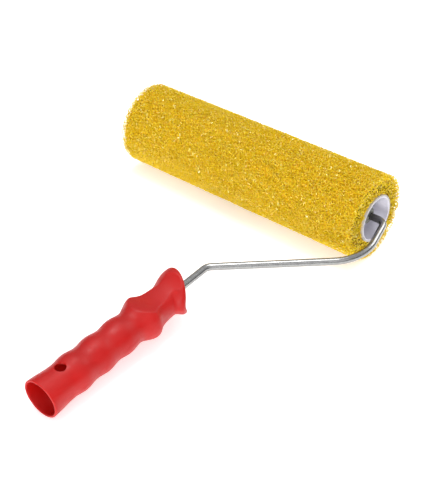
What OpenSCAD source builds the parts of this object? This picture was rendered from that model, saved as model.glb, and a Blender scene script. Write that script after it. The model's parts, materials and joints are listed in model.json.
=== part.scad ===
// Coarse-foam texture roller: a foam sleeve that spins on a bent wire frame,
// with a hollow moulded handle.
//
// The parts are drawn in the tool's own plane: X along the axle, -Y towards
// the handle, Z square to the plane of the wire. at_rest() then lays the whole
// tool on a table, touching it with the foam and with the butt of the handle,
// and puts the origin in the middle of the tool's bounding box, on the table.

/* [Roller] */
// Length of the foam sleeve
foam_length = 250; // [180:5:280]
// Outside diameter of the foam sleeve
foam_d = 74; // [60:1:90]
// Rounding of the foam's outer edges
foam_edge = 2; // [1:0.5:5]
// Outside diameter of the core tube
core_d = 41; // [38:0.5:50]
// Wall of the core tube
core_wall = 1.4; // [1:0.1:3]
// How far the core tube stands out of the foam at each end
core_proud = 0.5; // [0.5:0.5:3]

/* [End caps] */
// Depth of the recess in an end cap
cap_depth = 22; // [18:1:40]
// Wall of an end cap
cap_wall = 0.9; // [0.8:0.1:2.5]
// Thickness of an end cap's floor
cap_floor = 2.5; // [1.5:0.5:5]
// Outside diameter of the bearing hub
hub_d = 12.5; // [10:0.5:16]
// Depth of the hub's outer face below the rim of the cap
hub_depth = 8.3; // [7.5:0.1:12]
// Radial running clearance between the hub and the wire
hub_clearance = 0.08; // [0.02:0.01:0.1]
// Number of ribs between the hub and the wall
cap_ribs = 6; // [3:1:8]
// Thickness of a rib
rib_t = 1.6; // [1:0.1:2.5]
// Depth of the ribs' upper edge below the rim of the cap
rib_depth = 14; // [9:1:16]
// How far the hub runs on behind the cap's floor
hub_tail = 4; // [0:1:10]

/* [Wire frame] */
// Diameter of the wire
wire_d = 6; // [5:0.5:7]
// Where the axle line meets the line of the outer arm, from the roller's middle
arm_start_x = 133.5; // [130:0.5:150]
// Where the outer arm meets the diagonal, along the axle
arm_end_x = 146.5; // [140:0.5:165]
// Where the outer arm meets the diagonal, towards the handle
arm_end_s = 50.5; // [46:0.5:60]
// Offset of the handle from the roller's middle
handle_x = 55; // [20:1:60]
// Where the diagonal meets the handle's axis
diagonal_end_s = 130; // [120:1:140]
// Centreline radius of the bend beside the roller
bend_1 = 9; // [8:0.5:14]
// Centreline radius of the wide bend into the diagonal
bend_2 = 38; // [25:1:42]
// Centreline radius of the bend in front of the handle
bend_3 = 8; // [6:0.5:16]

/* [Washers] */
// Outside diameter of a thrust washer
washer_d = 14; // [12:0.5:16]
// Thickness of a thrust washer
washer_t = 1; // [0.6:0.1:1.5]
// Outside diameter of the toothed stop washer and of the push-on cap
stop_d = 11; // [10:0.5:12]
// Gap between a turning hub and its thrust washer
end_play = 0.3; // [0.2:0.1:0.8]

/* [Handle] */
// Distance from the axle to the butt of the handle
butt_s = 305; // [290:1:320]
// Length of the handle along its middle
handle_length = 135; // [130:1:145]
// Diameter at the butt
butt_d = 30.8; // [29:0.2:34]
// Diameter in the first hollow of the grip
grip_d = 29.1; // [28:0.1:32]
// How much narrower the grip gets towards the front, per millimetre
grip_taper = 0.024; // [0:0.002:0.04]
// Distance from one hollow of the grip to the next
wave_pitch = 22.3; // [20:0.1:24]
// Height of the waves along the grip, from the mean to a crest
wave_height = 0.62; // [0.2:0.02:1]
// Diameter of the knuckle behind the thumb rest
knuckle_d = 35.6; // [32:0.2:38]
// Diameter of the neck in front of the knuckle
neck_d = 25.4; // [24:0.2:28]
// Diameter of the flared guard at the front
guard_d = 35; // [32:0.5:38]
// Height of the lowest point of a thumb rest above the handle's axis
thumb_height = 10.8; // [10.4:0.2:13]
// Diameter of the pole socket
socket_d = 24.8; // [22:0.2:25]
// Depth of the pole socket
socket_depth = 58; // [40:1:64]
// Diameter of the hanging hole
hang_d = 8.6; // [6:0.2:10]
// Distance of the hanging hole from the butt
hang_g = 21.4; // [18:0.2:26]

/* [Hidden] */

foam_r = foam_d / 2;
core_r = core_d / 2;
core_bore_r = core_r - core_wall;
core_half = foam_length / 2 + core_proud;
wire_r = wire_d / 2;
butt_r = butt_d / 2;
// Interference where one piece is forced or glued on to another
press = 0.05;

// The resting tilt: the foam and the lowest point of the butt touch the table
rest_tilt = asin(foam_r / sqrt(butt_s * butt_s + butt_r * butt_r)) - atan2(butt_r, butt_s);

// Inner face of each thrust washer, and how far the wire stands past the far one
thrust_x = core_half - hub_depth + end_play;
wire_stand_out = 2.8;

// Inside the handle: the boss that grips the wire begins at boss_g, and the
// wire's crimped wings and its end lie at these distances from the butt
boss_g = 98;
wings_g = 112;
tang_end_g = 92;

// The wire's corners before bending, in the tool's plane
tang_end_s = butt_s - tang_end_g;
axle_end_x = -(thrust_x + washer_t + wire_stand_out);
CORNERS = [[axle_end_x, 0], [arm_start_x, 0], [arm_end_x, -arm_end_s],
           [handle_x, -diagonal_end_s], [handle_x, -tang_end_s]];
BENDS = [0, bend_1, bend_2, bend_3, 0];

function unit(v) = v / norm(v);
function heading(v) = atan2(v[1], v[0]);
function leg(i) = unit(CORNERS[i + 1] - CORNERS[i]);
function turn(i) = let(a = heading(leg(i)) - heading(leg(i - 1))) a > 180 ? a - 360 : a < -180 ? a + 360 : a;
function setback(i) = BENDS[i] == 0 ? 0 : BENDS[i] * tan(abs(turn(i)) / 2);
function left_of(v) = [-v[1], v[0]];
function bend_centre(i) = CORNERS[i] - leg(i - 1) * setback(i) + left_of(leg(i - 1)) * sign(turn(i)) * BENDS[i];

// The bounding box at rest gives the origin
wire_reach_x = bend_centre(2)[0] + bend_2 + wire_r;
centre_x = (wire_reach_x - core_half) / 2;
centre_y = (foam_r - butt_s * cos(rest_tilt) - butt_r * sin(rest_tilt)) / 2;

module at_rest() {
    translate([-centre_x, -centre_y, foam_r])
        rotate([rest_tilt, 0, 0])
            children();
}

// ---- Roller: everything here turns about the axle ----

function arc_points(c, r, from, to, steps) =
    [for (k = [0 : steps]) let(a = from + (to - from) * k / steps) c + r * [cos(a), sin(a)]];

// Turns a profile of [radius, distance along the axle] about X
module about_axle() {
    rotate([0, 90, 0])
        rotate_extrude($fn = 96)
            children();
}

module foam_sleeve() {
    half = foam_length / 2;
    color("#d5b029")
        at_rest()
            about_axle()
                polygon(concat(
                    [[core_r - press, -half]],
                    arc_points([foam_r - foam_edge, -half + foam_edge], foam_edge, -90, 0, 4),
                    arc_points([foam_r - foam_edge, half - foam_edge], foam_edge, 0, 90, 4),
                    [[core_r - press, half]]));
}

module core_tube() {
    color("#e9e4d2")
        at_rest()
            about_axle()
                translate([core_bore_r, -core_half])
                    square([core_wall, 2 * core_half]);
}

// An end cap with its rim at x = 0 and its recess open towards +X
module end_cap_shape() {
    outer = core_bore_r + press;
    inner = core_bore_r - cap_wall;
    back = cap_depth + cap_floor;
    hub_back = back + hub_tail;
    rib_foot = wire_r + 1;
    lap = 0.5;
    difference() {
        union() {
            about_axle()
                polygon([[outer, 0], [outer, -back], [wire_r, -back], [wire_r, -cap_depth],
                         [inner, -cap_depth], [inner, 0]]);
            about_axle()
                translate([wire_r, -hub_back])
                    square([hub_d / 2 - wire_r, hub_back - hub_depth]);
            for (k = [0 : cap_ribs - 1])
                rotate([360 * k / cap_ribs, 0, 0])
                    translate([-cap_depth - lap, -rib_t / 2, rib_foot])
                        cube([cap_depth - rib_depth + lap, rib_t, inner - rib_foot + lap]);
        }
        rotate([0, 90, 0])
            cylinder(h = 4 * back, r = wire_r + hub_clearance, center = true, $fn = 64);
    }
}

module frame_side_end_cap() {
    color("#b9bfbf")
        at_rest()
            translate([core_half, 0, 0])
                end_cap_shape();
}

module far_side_end_cap() {
    color("#b9bfbf")
        at_rest()
            translate([-core_half, 0, 0])
                rotate([0, 180, 0])
                    end_cap_shape();
}

// ---- Frame: the bent wire and what is pushed on to it ----

// One straight length of wire between two points of the tool's plane
module straight_wire(from, to) {
    translate([from[0], from[1], 0])
        rotate([0, 0, heading(to - from)])
            rotate([0, 90, 0])
                cylinder(h = norm(to - from), r = wire_r, $fn = 48);
}

// A hair-thin band where a straight length meets a bend: it laps over both,
// so that they become one solid
module lap_band(at, along) {
    band_w = 0.6;
    band_rise = 0.03;
    translate([at[0], at[1], 0])
        rotate([0, 0, heading(along)])
            rotate([0, 90, 0])
                cylinder(h = band_w, r = wire_r + band_rise, center = true, $fn = 48);
}

// The bend at corner i
module bent_wire(i) {
    c = bend_centre(i);
    start = heading(left_of(leg(i - 1)) * -sign(turn(i)));
    translate([c[0], c[1], 0])
        rotate([0, 0, turn(i) > 0 ? start : start + turn(i)])
            rotate_extrude(angle = abs(turn(i)), $fn = 192)
                translate([BENDS[i], 0])
                    circle(r = wire_r, $fn = 48);
}

// Two crimped wings that lock the wire in the handle
module tang_wings() {
    wing_w = 9;
    wing_l = 10;
    wing_t = 1.8;
    translate([handle_x - wing_w / 2, -(butt_s - wings_g) - wing_l / 2, -wing_t / 2])
        cube([wing_w, wing_l, wing_t]);
}

module frame_wire() {
    last = len(CORNERS) - 1;
    color("#aaa9a3")
        at_rest()
            union() {
                for (i = [0 : last - 1])
                    straight_wire(CORNERS[i] + leg(i) * setback(i), CORNERS[i + 1] - leg(i) * setback(i + 1));
                for (i = [1 : last - 1]) {
                    bent_wire(i);
                    lap_band(CORNERS[i] - leg(i - 1) * setback(i), leg(i - 1));
                    lap_band(CORNERS[i] + leg(i) * setback(i), leg(i));
                }
                tang_wings();
            }
}

// A flat ring pressed on to the wire, its outer face at distance d below the rim
module washer_shape(diameter, thickness) {
    about_axle()
        translate([wire_r - press, 0])
            square([diameter / 2 - wire_r + press, thickness]);
}

module frame_side_thrust_washer() {
    color("#6f7068")
        at_rest()
            translate([thrust_x, 0, 0])
                washer_shape(washer_d, washer_t);
}

// A toothed washer: a shallow cone whose teeth grip the wire
module frame_side_stop_washer() {
    stop_t = 0.7;
    rise = 1;
    cone_r = stop_d / 2 - 1.2;
    teeth = 6;
    slot = [4, 0.8, 1.3];
    color("#55564f")
        at_rest()
            translate([thrust_x + washer_t, 0, 0])
                difference() {
                    about_axle()
                        polygon([[stop_d / 2, 0], [stop_d / 2, stop_t], [cone_r, stop_t],
                                 [wire_r - press, rise + stop_t], [wire_r - press, rise], [cone_r, 0]]);
                    for (k = [0 : teeth - 1])
                        rotate([360 * k / teeth, 0, 0])
                            translate([-slot[0] / 4, -slot[1] / 2, wire_r - slot[2] / 2])
                                cube(slot);
                }
}

module far_side_thrust_washer() {
    color("#6f7068")
        at_rest()
            translate([-thrust_x - washer_t, 0, 0])
                washer_shape(washer_d, washer_t);
}

// A domed push-on cap over the far end of the wire
module far_side_push_cap() {
    wall = 0.7;
    skirt = 2.2;
    dome_r = stop_d / 2;
    top = 4.6;
    color("#9a9a94")
        at_rest()
            translate([-thrust_x - washer_t, 0, 0])
                about_axle()
                    polygon(concat(
                        [[wire_r - press, 0], [dome_r, 0]],
                        [for (k = [0 : 8]) let(a = 90 * k / 8) [dome_r * cos(a), -skirt - (top - skirt) * sin(a)]],
                        [[0, -top + wall]],
                        [for (k = [1 : 8]) let(a = 90 - 90 * k / 8)
                            [(dome_r - wall) * cos(a), -skirt - (top - wall - skirt) * sin(a)]],
                        [[dome_r - wall, -wall], [wire_r - press, -wall]]));
}

// ---- Handle: g is the distance from the butt, a the angle round the grip ----
// a = 0 is the top, 90 the side that faces along the axle towards the outer arm.

function smooth(u) = u <= 0 ? 0 : u >= 1 ? 1 : u * u * (3 - 2 * u);

first_dip_g = 21;
knuckle_start_g = first_dip_g + 3 * wave_pitch;
knuckle_g = knuckle_start_g + 15;
knuckle_fall = 5.5;
grip_slope = grip_taper / 2;

// Mean radius of the grip, with its waves, up to the knuckle
function grip_r(g) =
    grip_d / 2 - grip_slope * max(g - first_dip_g, 0)
    - wave_height * cos(360 * (max(g, first_dip_g) - first_dip_g) / wave_pitch)
    + (butt_r - grip_d / 2 + wave_height) * (1 - smooth(g / first_dip_g));

// The knuckle rises steeply and falls away in front
function knuckle(g) =
    g < knuckle_g ? smooth((g - knuckle_start_g) / (knuckle_g - knuckle_start_g))
                  : 1 / (1 + pow((g - knuckle_g) / knuckle_fall, 2));

function round_r(g) =
    g < knuckle_start_g ? grip_r(g)
    : let(low = g < knuckle_g ? grip_r(knuckle_start_g) : neck_d / 2)
      low + (knuckle_d / 2 - low) * knuckle(g);

// The guard's rim leans: it reaches furthest on the side away from the arm,
// and at the thumb rests on the top and bottom
rim_lean = 6.7;
rim_ears = 7.2;
flare_l = 15;
flare_lean = 7;
flare_haste = 1.15;
function rim_g(a) = handle_length - rim_lean * sin(a) + rim_ears * sqrt(pow(cos(a), 2) + 0.03);
function flare_start_g(a) = rim_g(a) - flare_l + flare_lean * sin(a);

// The thumb rests, one on the top and one on the bottom, are cut into the skin in front of the knuckle.
// A rest rises gently behind its lowest point and steeply in front of it, and wraps a little round.
thumb_g = knuckle_g + 14;
thumb_back = 25;
thumb_back_rise = 4;
thumb_front = 26;
thumb_front_rise = 9;
thumb_wrap = 0.9;
function angle_off_thumb(a) = abs((a + 90) % 180 - 90);
function thumb_floor(g) =
    thumb_height + thumb_back_rise * smooth((thumb_g - g) / thumb_back)
    + thumb_front_rise * pow(max(0, g - thumb_g) / thumb_front, 2.5);
function thumb_cut(r, g, a) =
    g < thumb_g - thumb_back ? r : min(r, thumb_floor(g) / cos(thumb_wrap * angle_off_thumb(a)));

// A point of the skin at ring value t: up to 1 along the grip, 1 to 2 in the flare
function skin_g(t, a) = t <= 1 ? t * flare_start_g(a) : flare_start_g(a) + (t - 1) * (rim_g(a) - flare_start_g(a));
function skin_r(t, a) =
    let(g = skin_g(t, a), base = round_r(g))
    thumb_cut(t <= 1 ? base : base + (guard_d / 2 - base) * smooth((t - 1) * flare_haste), g, a);
function skin_point(r, g, a) = [r * sin(a), g, r * cos(a)];

// The lips at the butt and at the guard are rounded over a few rings of points
lip_g = 0.5;
lip_r = 0.9;
rim_round = 2.2;
front_land = 3;
front_r = 9;
front_lean = 0.3;
front_g = handle_length + rim_round;
grip_rings = 46;
flare_rings = 5;
sides = 36;
ANGLES = [for (k = [0 : sides - 1]) 360 * k / sides];
SKIN = concat(
    [for (a = ANGLES) skin_point(skin_r(0, a) - lip_r, 0, a)],
    [for (a = ANGLES) skin_point(skin_r(0, a) - 0.2 * lip_r, lip_g, a)],
    [for (k = [1 : grip_rings], a = ANGLES) let(t = k / grip_rings) skin_point(skin_r(t, a), skin_g(t, a), a)],
    [for (k = [1 : flare_rings], a = ANGLES) let(t = 1 + k / flare_rings) skin_point(skin_r(t, a), skin_g(t, a), a)],
    [for (a = ANGLES) skin_point(skin_r(2, a) - lip_r, rim_g(a) + 0.7 * rim_round, a)],
    [for (a = ANGLES) skin_point(skin_r(2, a) - front_land, rim_g(a) + rim_round, a)],
    [for (a = ANGLES) skin_point(front_r, front_g + (rim_g(a) - handle_length) * front_lean, a)],
    [[0, 0, 0], [0, front_g, 0]]);
skin_rings = grip_rings + flare_rings + 5;

module handle_skin() {
    butt_centre = skin_rings * sides;
    front_centre = butt_centre + 1;
    last_ring = (skin_rings - 1) * sides;
    polyhedron(points = SKIN, faces = concat(
        [for (j = [0 : skin_rings - 2], k = [0 : sides - 1]) let(n = (k + 1) % sides)
            [j * sides + k, j * sides + n, (j + 1) * sides + n]],
        [for (j = [0 : skin_rings - 2], k = [0 : sides - 1]) let(n = (k + 1) % sides)
            [j * sides + k, (j + 1) * sides + n, (j + 1) * sides + k]],
        [for (k = [0 : sides - 1]) [butt_centre, (k + 1) % sides, k]],
        [for (k = [0 : sides - 1]) [front_centre, last_ring + k, last_ring + (k + 1) % sides]]));
}

// A round hole along the handle from g = from to g = to
module long_hole(from, to, r_from, r_to) {
    translate([0, from, 0])
        rotate([-90, 0, 0])
            cylinder(h = to - from, r1 = r_from, r2 = r_to, $fn = 64);
}

module handle() {
    mouth_r = butt_r - 1.6;
    lead_in = 12;
    inner_hollow_r = 9;
    color("#c83d38")
        at_rest()
            difference() {
                translate([handle_x, -butt_s, 0])
                    difference() {
                        handle_skin();
                        long_hole(-1, 0, mouth_r, mouth_r);
                        long_hole(0, lead_in, mouth_r, socket_d / 2);
                        long_hole(lead_in, socket_depth, socket_d / 2, socket_d / 2);
                        long_hole(socket_depth - 1, boss_g, inner_hollow_r, inner_hollow_r);
                        long_hole(boss_g - 1, handle_length + 20, wire_r - press, wire_r - press);
                        translate([0, hang_g, 0])
                            cylinder(h = butt_d + 10, d = hang_d, center = true, $fn = 48);
                    }
                tang_wings();
            }
}

foam_sleeve();
core_tube();
frame_side_end_cap();
far_side_end_cap();
frame_wire();
frame_side_thrust_washer();
frame_side_stop_washer();
far_side_thrust_washer();
far_side_push_cap();
handle();
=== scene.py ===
# %% [markdown]
# # A texture roller: coarse foam on a bent wire frame
# This lesson builds the looks of a small hand tool around a finished, measured model of it.
# The measured model, the frame, already says where every part is and how the roller turns.
# Here each part gets the surface and the finish that the real one has.

# %% Open the measured model
import json
import bpy
import numpy as np
from mathutils import Matrix, Vector


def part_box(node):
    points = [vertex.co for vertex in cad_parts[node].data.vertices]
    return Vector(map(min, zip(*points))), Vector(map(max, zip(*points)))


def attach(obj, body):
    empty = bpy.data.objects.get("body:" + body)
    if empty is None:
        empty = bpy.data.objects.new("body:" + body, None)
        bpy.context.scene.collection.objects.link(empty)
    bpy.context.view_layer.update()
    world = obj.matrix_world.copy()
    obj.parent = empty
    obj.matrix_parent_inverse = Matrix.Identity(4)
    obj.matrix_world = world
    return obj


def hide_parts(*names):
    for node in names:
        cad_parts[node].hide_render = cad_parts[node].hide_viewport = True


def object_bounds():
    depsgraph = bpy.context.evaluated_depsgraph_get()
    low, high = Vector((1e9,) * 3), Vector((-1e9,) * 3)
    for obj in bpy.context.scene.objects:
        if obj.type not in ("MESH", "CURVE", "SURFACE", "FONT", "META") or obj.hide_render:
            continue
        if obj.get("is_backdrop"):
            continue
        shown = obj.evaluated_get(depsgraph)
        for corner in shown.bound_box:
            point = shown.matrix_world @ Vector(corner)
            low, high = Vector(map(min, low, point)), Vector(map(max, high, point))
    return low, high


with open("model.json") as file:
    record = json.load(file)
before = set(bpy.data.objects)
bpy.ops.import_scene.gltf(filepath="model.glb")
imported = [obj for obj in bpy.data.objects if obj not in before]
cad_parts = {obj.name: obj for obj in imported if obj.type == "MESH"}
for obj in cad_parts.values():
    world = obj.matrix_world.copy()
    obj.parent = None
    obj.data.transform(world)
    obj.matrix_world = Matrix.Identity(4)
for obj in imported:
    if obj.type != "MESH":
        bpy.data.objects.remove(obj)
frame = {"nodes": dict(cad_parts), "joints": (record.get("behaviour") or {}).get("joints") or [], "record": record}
cad_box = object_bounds()
print("parts:", sorted(frame["nodes"]))

# %% [markdown]
# ## The tool's own plane
# The wire is bent in one plane, and the whole tool lies a little tilted, on the foam and on the butt
# of its handle. It is far easier to draw in the flat plane of the wire, so every shape below is
# worked out there, in millimetres: X along the axle, -Y towards the handle, Z square to the plane.
# One function then lays the points down as the tool rests. The tilt and the middle of the roller are
# read from the measured model: the pole socket points straight back along the handle.

# %% Lay points down as the tool rests
joint = frame["joints"][0]
middle = np.array(joint["pos_m"])
socket = next(m for m in frame["record"]["mounts"] if m["name"] == "pole_socket")
forward = -np.array(socket["axis"], float)
forward /= np.linalg.norm(forward)
sideways = np.array([1.0, 0.0, 0.0])
TOOL_AXES = np.stack([sideways, forward, np.cross(sideways, forward)])


def at_rest(points):
    """A point of the tool's plane, in mm, becomes middle + x*sideways + y*forward + z*across, in metres."""
    return middle + (np.asarray(points, float) / 1000) @ TOOL_AXES


foam_low, foam_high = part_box("foam_sleeve")
core_low, core_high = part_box("core_tube")
foam_half = (foam_high.x - foam_low.x) * 500
foam_r = (foam_high.z - foam_low.z) * 500
core_half = (core_high.x - core_low.x) * 500
core_r = (core_high.z - core_low.z) * 500
print(f"foam {2 * foam_half:.1f} long, {2 * foam_r:.1f} across; core {2 * core_half:.1f}, {2 * core_r:.1f}")

# %% [markdown]
# ## Shells
# Nearly every part here is a closed skin: a row of loops, one after another, as a knitter would make
# a sleeve. A shell takes an array of such loops. A ring, such as a washer, also joins its last loop to
# its first; any other shell is shut with a fan of triangles at each end. The volume that the faces
# enclose has to come out positive: if it doesn't, the faces point inwards and are turned round.

# %% Make a shell from loops of points
def shell(loops, ring=False):
    """Joins neighbouring points of a (rows, columns, 3) array by quads, each row closed on itself."""
    rows, columns = loops.shape[:2]
    points = loops.reshape(-1, 3)
    row = np.arange(rows if ring else rows - 1)[:, None]
    column = np.arange(columns)[None, :]
    after = (column + 1) % columns
    above = (row + 1) % rows
    quads = np.stack([row * columns + column, row * columns + after,
                      above * columns + after, above * columns + column], -1).reshape(-1, 4)
    faces = [quads]
    if not ring:
        ends = np.stack([loops[0].mean(0), loops[-1].mean(0)])
        spin = np.arange(columns)
        last = (rows - 1) * columns
        first_fan = np.stack([np.full(columns, rows * columns), (spin + 1) % columns, spin], -1)
        last_fan = np.stack([np.full(columns, rows * columns + 1), last + spin,
                             last + (spin + 1) % columns], -1)
        points = np.concatenate([points, ends])
        faces += [first_fan, last_fan]
    a, b, c = (points[quads[:, k]] for k in (0, 1, 2))
    d = points[quads[:, 3]]
    volume = (a * (np.cross(b, c) + np.cross(c, d))).sum()
    volume += sum((points[f[:, 0]] * np.cross(points[f[:, 1]], points[f[:, 2]])).sum() for f in faces[1:])
    if volume < 0:
        faces = [f[:, ::-1] for f in faces]
    return points, faces


def build_mesh(name, shells):
    """One mesh from a list of (points, faces), laid down at rest."""
    points = np.concatenate([p for p, _ in shells])
    offsets = np.cumsum([0] + [len(p) for p, _ in shells[:-1]])
    faces = [f + start for (_, group), start in zip(shells, offsets) for f in group]
    corners = np.concatenate([f.ravel() for f in faces])
    sides = np.concatenate([np.full(len(f), f.shape[1]) for f in faces])
    mesh = bpy.data.meshes.new(name)
    mesh.vertices.add(len(points))
    mesh.vertices.foreach_set("co", at_rest(points).astype(np.float32).ravel())
    mesh.loops.add(len(corners))
    mesh.loops.foreach_set("vertex_index", corners.astype(np.int32))
    mesh.polygons.add(len(sides))
    mesh.polygons.foreach_set("loop_start", (np.cumsum(sides) - sides).astype(np.int32))
    mesh.update(calc_edges=True)
    return mesh


def make_piece(name, shells, body, finish, stands_for=(), crease=40):
    """Links the piece, gives it its finish and says which body it rides on; crease is in degrees."""
    mesh = build_mesh(name, shells)
    mesh.materials.append(finish)
    if crease:
        mesh.shade_smooth()
        mesh.set_sharp_from_angle(angle=np.radians(crease))
    else:
        mesh.shade_flat()
    piece = bpy.data.objects.new(name, mesh)
    bpy.context.scene.collection.objects.link(piece)
    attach(piece, body)
    if stands_for:
        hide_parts(*stands_for)
    print(f"{name}: {len(mesh.polygons)} faces")
    return piece


# %% [markdown]
# ## Node helpers
# A finish is a small network of nodes. Two helpers keep the cells short: one puts a node down and
# fills or links its sockets, the other turns a colour as it is seen on a screen into the linear
# light values that the shader works in.

# %% Put down nodes and colours
def put(tree, kind, sockets=None, **settings):
    """Adds a node. A socket given another socket is linked to it, and anything else is its value."""
    made = tree.nodes.new(kind)
    for key, value in settings.items():
        setattr(made, key, value)
    for key, value in (sockets or {}).items():
        if isinstance(value, bpy.types.NodeSocket):
            tree.links.new(value, made.inputs[key])
        else:
            made.inputs[key].default_value = value
    return made


def colour(red, green, blue):
    """A screen colour, 0 to 255, in linear light: the usual curve, c/12.92 or ((c+0.055)/1.055)^2.4."""
    seen = np.array([red, green, blue]) / 255
    light = np.where(seen <= 0.04045, seen / 12.92, ((seen + 0.055) / 1.055) ** 2.4)
    return (*light.tolist(), 1.0)


def new_finish(name):
    """An empty finish: its node tree, its shader and the object's own coordinates."""
    finish = bpy.data.materials.new(name)
    finish.use_nodes = True
    tree = finish.node_tree
    shader = tree.nodes["Principled BSDF"]
    place = put(tree, "ShaderNodeTexCoord").outputs["Object"]
    return finish, tree, shader, place


def noise(tree, where, scale, detail=3.0, roughness=0.5):
    """A cloudy pattern with that many clouds to the metre."""
    return put(tree, "ShaderNodeTexNoise",
               {"Vector": where, "Scale": scale, "Detail": detail, "Roughness": roughness}).outputs["Fac"]


def ramp(tree, value, stops):
    """Colours along a scale; stops is a list of (place, colour)."""
    made = put(tree, "ShaderNodeValToRGB", {"Fac": value})
    band = made.color_ramp
    while len(band.elements) < len(stops):
        band.elements.new(0.5)
    for element, (place, shade) in zip(band.elements, stops):
        element.position = place
        element.color = shade
    return made.outputs["Color"]


def span(tree, value, low, high, start=0.0, stop=1.0):
    """Stretches a value: start..stop becomes low..high, and stays within them."""
    return put(tree, "ShaderNodeMapRange", {"Value": value, "From Min": start, "From Max": stop,
                                            "To Min": low, "To Max": high}).outputs["Result"]


def bump(tree, shader, height, depth, strength=1.0):
    """Raises the surface by height times depth, in metres."""
    made = put(tree, "ShaderNodeBump", {"Height": height, "Distance": depth, "Strength": strength})
    tree.links.new(made.outputs["Normal"], shader.inputs["Normal"])


# %% [markdown]
# ## The camera
# The tool is looked at from above and from its handle end, so that the roller runs away from the eye
# and the open end of its core shows. The camera stands a little under a metre off, behind a long
# lens, which keeps the far end of the roller nearly as wide as the near one.

# %% Place the camera
camera_azimuth = 39.58
camera_elevation = 35.69
camera_roll = 0.43
camera_distance = 0.91275
camera_lens = 75.37
camera_aim = np.array([-0.0095, 0.07887, -0.02225])


def camera_frame(azimuth, elevation, roll):
    """The camera's right, up and backward directions: azimuth turns about Z, elevation looks down."""
    a, e, r = np.radians([azimuth, elevation, roll])
    ahead = np.array([-np.sin(a) * np.cos(e), np.cos(a) * np.cos(e), -np.sin(e)])
    level = np.array([np.cos(a), np.sin(a), 0.0])
    upright = np.cross(level, ahead)
    right = level * np.cos(r) + upright * np.sin(r)
    up = upright * np.cos(r) - level * np.sin(r)
    return right, up, -ahead


right, up, back = camera_frame(camera_azimuth, camera_elevation, camera_roll)
camera_data = bpy.data.cameras.new("camera")
camera_data.lens = camera_lens
camera = bpy.data.objects.new("camera", camera_data)
bpy.context.scene.collection.objects.link(camera)
pose = np.eye(4)
pose[:3, 0], pose[:3, 1], pose[:3, 2] = right, up, back
pose[:3, 3] = camera_aim + back * camera_distance
camera.matrix_world = Matrix(pose.tolist())
bpy.context.scene.camera = camera
print("camera at", np.round(pose[:3, 3], 3))

# %% [markdown]
# ## Floor and light
# The tool lies on a pale sheet of studio paper, which glows a little so that shadows stay faint.
# A soft box overhead is the main light. A wide one on the right fills the shadows and reaches into
# the open core, one at the back draws the bright line along the wire, and a small low one behind
# the butt shines into the hollow of the handle.

# %% Lay the floor
floor_size = 60.0
floor_mesh = bpy.data.meshes.new("floor")
floor_half = floor_size / 2
floor_mesh.from_pydata([(-floor_half, -floor_half, 0), (floor_half, -floor_half, 0),
                        (floor_half, floor_half, 0), (-floor_half, floor_half, 0)], [], [(0, 1, 2, 3)])
floor = bpy.data.objects.new("floor", floor_mesh)
bpy.context.scene.collection.objects.link(floor)
floor.location.z = min(cad_box[0].z, 0.0) - 0.0002
paper, tree, shader, place = new_finish("studio_paper")
tint = ramp(tree, noise(tree, place, 2.0), [(0.3, colour(249, 249, 249)), (0.7, colour(252, 252, 252))])
tree.links.new(tint, shader.inputs["Base Color"])
shader.inputs["Roughness"].default_value = 0.9
shader.inputs["Specular IOR Level"].default_value = 0.1
shader.inputs["Emission Color"].default_value = (1.0, 1.0, 1.0, 1.0)
shader.inputs["Emission Strength"].default_value = 0.45
bump(tree, shader, noise(tree, place, 900.0), 0.00005)
floor_mesh.materials.append(paper)
floor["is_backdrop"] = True

# %% Hang the lamps
def soft_box(name, place, aim, size, power):
    """A square lamp at place that faces aim, size metres across."""
    lamp = bpy.data.lights.new(name, "AREA")
    lamp.shape = "SQUARE"
    lamp.size = size
    lamp.energy = power
    stand = bpy.data.objects.new(name, lamp)
    bpy.context.scene.collection.objects.link(stand)
    stand.location = place
    facing = np.array(aim, float) - np.array(place, float)
    stand.rotation_euler = Vector(facing).to_track_quat("-Z", "Y").to_euler()
    stand.visible_camera = False


soft_box("key_lamp", (-0.15, 0.1, 1.5), (0, 0.05, 0), 0.7, 10.5)
soft_box("fill_lamp", (1.2, -0.9, 1.0), (0, 0, 0), 1.6, 4.5)
soft_box("back_lamp", (0.4, 1.5, 1.05), (0.05, 0, 0), 0.9, 7.5)
soft_box("low_lamp", (0.55, -1.25, 0.22), (0.04, -0.2, 0.02), 0.35, 9)
print("4 lamps")

# %% [markdown]
# ## The room
# Metal shows what is around it. If the whole room were white, the wire would be plain white too, so
# the room's light is graded: bright overhead and dark towards the horizon, which gives the wire its
# dark edge lines. Looked at directly, the room is a plain backdrop as pale as the floor.

# %% Grade the light of the room
room_strength = 0.72
world = bpy.data.worlds.new("room")
world.use_nodes = True
tree = world.node_tree
direction = put(tree, "ShaderNodeTexCoord").outputs["Generated"]
height = put(tree, "ShaderNodeSeparateXYZ", {"Vector": direction})
sky_tones = [(0.0, colour(30, 30, 32)), (0.16, colour(80, 80, 82)), (0.5, colour(250, 250, 252))]
sky = ramp(tree, height.outputs["Z"], sky_tones)
room_light = tree.nodes["Background"]
tree.links.new(sky, room_light.inputs["Color"])
room_light.inputs["Strength"].default_value = room_strength
backdrop = put(tree, "ShaderNodeBackground", {"Color": colour(252, 252, 252), "Strength": 1.0})
seen_directly = put(tree, "ShaderNodeLightPath").outputs["Is Camera Ray"]
room = put(tree, "ShaderNodeMixShader",
           {0: seen_directly, 1: room_light.outputs[0], 2: backdrop.outputs[0]})
tree.links.new(room.outputs[0], tree.nodes["World Output"].inputs["Surface"])
bpy.context.scene.world = world
bpy.context.scene.view_settings.view_transform = "Standard"
print("the room is", [round(tone[0], 2) for _, tone in sky_tones], "from horizon to overhead")

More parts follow.
